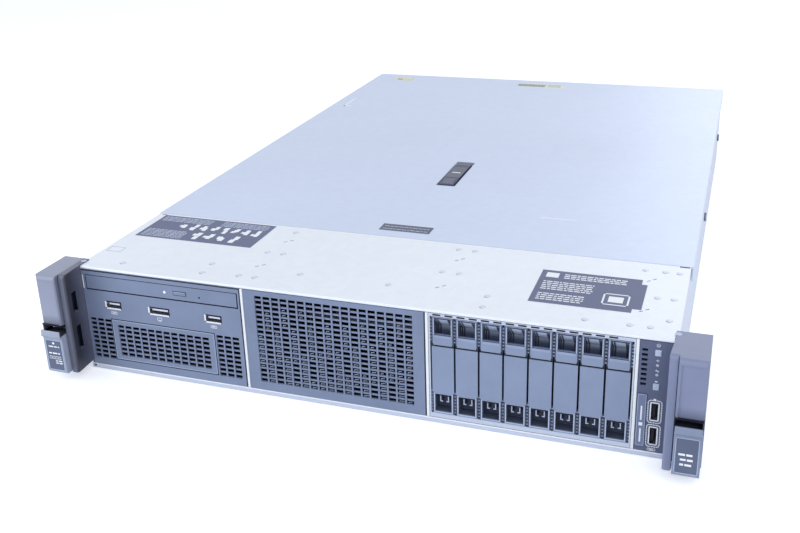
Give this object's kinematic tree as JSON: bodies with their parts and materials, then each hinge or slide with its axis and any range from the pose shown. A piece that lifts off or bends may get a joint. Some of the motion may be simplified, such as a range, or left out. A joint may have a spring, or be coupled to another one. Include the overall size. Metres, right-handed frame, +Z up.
{
  "type": "2u rack server",
  "caption": "Flat rack computer two units high: mounting ears with drop-down levers, slotted bay grille, row of drive blanks, lift-off top panel.",
  "frame": {"origin": "middle of the chassis underside, halfway between the front plane of the bays and the rear panel", "axes": "+Z up, the front with the bays and ears faces -Y, +X to the right seen from the front"},
  "size_m": [0.4826, 0.7328, 0.0883],
  "materials": {
    "sheet_steel": "satin",
    "bezel_plastic": "matte",
    "ear_plastic": "satin",
    "fan_plastic": "satin",
    "latch_plastic": "satin",
    "hardware_steel": "satin",
    "socket_metal": "bright",
    "circuit_board": "satin",
    "sink_aluminium": "satin",
    "button_plastic": "satin",
    "supply_steel": "satin"
  },
  "bodies": {
    "chassis": {"chassis_pan": "sheet_steel", "front_cover": "sheet_steel", "rear_panel": "sheet_steel", "bay_dividers": "sheet_steel", "drive_cage": "sheet_steel", "fan_cage": "sheet_steel", "riser_cage_1": "sheet_steel", "riser_cage_2": "sheet_steel", "optical_drive": "sheet_steel", "media_bezel": "bezel_plastic", "bay_insert": "bezel_plastic", "grille_panel": "bezel_plastic", "control_panel": "bezel_plastic", "ear_left": "ear_plastic", "ear_right": "ear_plastic", "fan_1": "fan_plastic", "fan_2": "fan_plastic", "fan_3": "fan_plastic", "fan_4": "fan_plastic", "fan_5": "fan_plastic", "fan_6": "fan_plastic", "lever_pins": "hardware_steel", "rack_screws": "hardware_steel", "front_sockets": "socket_metal", "side_sockets": "socket_metal", "rear_sockets": "socket_metal", "drive_backplane": "circuit_board", "main_board": "circuit_board", "memory_modules": "circuit_board", "heat_sink_1": "sink_aluminium", "heat_sink_2": "sink_aluminium"},
    "access_panel": {"access_panel": "sheet_steel", "latch_pin": "hardware_steel"},
    "panel_latch": {"panel_latch": "latch_plastic"},
    "optical_tray": {"optical_tray": "bezel_plastic"},
    "eject_button": {"eject_button": "bezel_plastic"},
    "power_button": {"power_button": "button_plastic"},
    "locator_button": {"locator_button": "button_plastic"},
    "pull_tab": {"pull_tab": "bezel_plastic"},
    "release_lever_left": {"release_lever_left": "ear_plastic"},
    "release_lever_right": {"release_lever_right": "ear_plastic"},
    "power_supply_1": {"power_supply_1": "supply_steel"},
    "power_supply_2": {"power_supply_2": "supply_steel"},
    "supply_latch_1": {"supply_latch_1": "latch_plastic"},
    "supply_latch_2": {"supply_latch_2": "latch_plastic"},
    "drive_blank_1": {"drive_blank_1": "bezel_plastic"},
    "drive_blank_2": {"drive_blank_2": "bezel_plastic"},
    "drive_blank_3": {"drive_blank_3": "bezel_plastic"},
    "drive_blank_4": {"drive_blank_4": "bezel_plastic"},
    "drive_blank_5": {"drive_blank_5": "bezel_plastic"},
    "drive_blank_6": {"drive_blank_6": "bezel_plastic"},
    "drive_blank_7": {"drive_blank_7": "bezel_plastic"},
    "drive_blank_8": {"drive_blank_8": "bezel_plastic"},
    "fan_rotor_1": {"fan_rotor_1": "fan_plastic"},
    "fan_rotor_2": {"fan_rotor_2": "fan_plastic"},
    "fan_rotor_3": {"fan_rotor_3": "fan_plastic"},
    "fan_rotor_4": {"fan_rotor_4": "fan_plastic"},
    "fan_rotor_5": {"fan_rotor_5": "fan_plastic"},
    "fan_rotor_6": {"fan_rotor_6": "fan_plastic"}
  },
  "joints": [
    {"name": "access_panel_lift", "type": "slide", "parent": "chassis", "child": "access_panel", "axis": [0, 0, 1], "range_m": [0, 0.12]},
    {"name": "panel_latch_turn", "type": "hinge", "parent": "access_panel", "child": "panel_latch", "pos_m": [-0.0038, -0.0242, 0.0858], "axis": [-1, 0, 0], "range_deg": [0, 95]},
    {"name": "optical_tray_slide", "type": "slide", "parent": "chassis", "child": "optical_tray", "axis": [0, -1, 0], "range_m": [0, 0.115]},
    {"name": "eject_button_press", "type": "slide", "parent": "optical_tray", "child": "eject_button", "axis": [0, 1, 0], "range_m": [0, 0.0007], "stiffness_N_per_m": 300},
    {"name": "drive_blank_1_slide", "type": "slide", "parent": "chassis", "child": "drive_blank_1", "axis": [0, -1, 0], "range_m": [0, 0.06]},
    {"name": "drive_blank_2_slide", "type": "slide", "parent": "chassis", "child": "drive_blank_2", "axis": [0, -1, 0], "range_m": [0, 0.06]},
    {"name": "drive_blank_3_slide", "type": "slide", "parent": "chassis", "child": "drive_blank_3", "axis": [0, -1, 0], "range_m": [0, 0.06]},
    {"name": "drive_blank_4_slide", "type": "slide", "parent": "chassis", "child": "drive_blank_4", "axis": [0, -1, 0], "range_m": [0, 0.06]},
    {"name": "drive_blank_5_slide", "type": "slide", "parent": "chassis", "child": "drive_blank_5", "axis": [0, -1, 0], "range_m": [0, 0.06]},
    {"name": "drive_blank_6_slide", "type": "slide", "parent": "chassis", "child": "drive_blank_6", "axis": [0, -1, 0], "range_m": [0, 0.06]},
    {"name": "drive_blank_7_slide", "type": "slide", "parent": "chassis", "child": "drive_blank_7", "axis": [0, -1, 0], "range_m": [0, 0.06]},
    {"name": "drive_blank_8_slide", "type": "slide", "parent": "chassis", "child": "drive_blank_8", "axis": [0, -1, 0], "range_m": [0, 0.06]},
    {"name": "power_button_press", "type": "slide", "parent": "chassis", "child": "power_button", "axis": [0, 1, 0], "range_m": [0, 0.001], "stiffness_N_per_m": 400},
    {"name": "locator_button_press", "type": "slide", "parent": "chassis", "child": "locator_button", "axis": [0, 1, 0], "range_m": [0, 0.001], "stiffness_N_per_m": 400},
    {"name": "pull_tab_slide", "type": "slide", "parent": "chassis", "child": "pull_tab", "axis": [0, -1, 0], "range_m": [0, 0.06]},
    {"name": "release_lever_left_turn", "type": "hinge", "parent": "chassis", "child": "release_lever_left", "pos_m": [-0.2324, -0.3587, 0.012], "axis": [1, 0, 0], "range_deg": [0, 60]},
    {"name": "release_lever_right_turn", "type": "hinge", "parent": "chassis", "child": "release_lever_right", "pos_m": [0.2324, -0.3587, 0.012], "axis": [1, 0, 0], "range_deg": [0, 60]},
    {"name": "fan_rotor_1_spin", "type": "hinge", "parent": "chassis", "child": "fan_rotor_1", "pos_m": [-0.165, -0.1877, 0.0338], "axis": [0, 1, 0], "continuous": true},
    {"name": "fan_rotor_2_spin", "type": "hinge", "parent": "chassis", "child": "fan_rotor_2", "pos_m": [-0.099, -0.1877, 0.0338], "axis": [0, 1, 0], "continuous": true},
    {"name": "fan_rotor_3_spin", "type": "hinge", "parent": "chassis", "child": "fan_rotor_3", "pos_m": [-0.033, -0.1877, 0.0338], "axis": [0, 1, 0], "continuous": true},
    {"name": "fan_rotor_4_spin", "type": "hinge", "parent": "chassis", "child": "fan_rotor_4", "pos_m": [0.033, -0.1877, 0.0338], "axis": [0, 1, 0], "continuous": true},
    {"name": "fan_rotor_5_spin", "type": "hinge", "parent": "chassis", "child": "fan_rotor_5", "pos_m": [0.099, -0.1877, 0.0338], "axis": [0, 1, 0], "continuous": true},
    {"name": "fan_rotor_6_spin", "type": "hinge", "parent": "chassis", "child": "fan_rotor_6", "pos_m": [0.165, -0.1877, 0.0338], "axis": [0, 1, 0], "continuous": true},
    {"name": "power_supply_1_slide", "type": "slide", "parent": "chassis", "child": "power_supply_1", "axis": [0, 1, 0], "range_m": [0, 0.2]},
    {"name": "supply_latch_1_turn", "type": "hinge", "parent": "power_supply_1", "child": "supply_latch_1", "pos_m": [-0.1658, 0.3419, 0.0361], "axis": [-1, 0, 0], "range_deg": [0, 12], "stiffness_Nm_per_rad": 0.4},
    {"name": "power_supply_2_slide", "type": "slide", "parent": "chassis", "child": "power_supply_2", "axis": [0, 1, 0], "range_m": [0, 0.2]},
    {"name": "supply_latch_2_turn", "type": "hinge", "parent": "power_supply_2", "child": "supply_latch_2", "pos_m": [-0.0942, 0.3419, 0.0361], "axis": [-1, 0, 0], "range_deg": [0, 12], "stiffness_Nm_per_rad": 0.4}
  ]
}
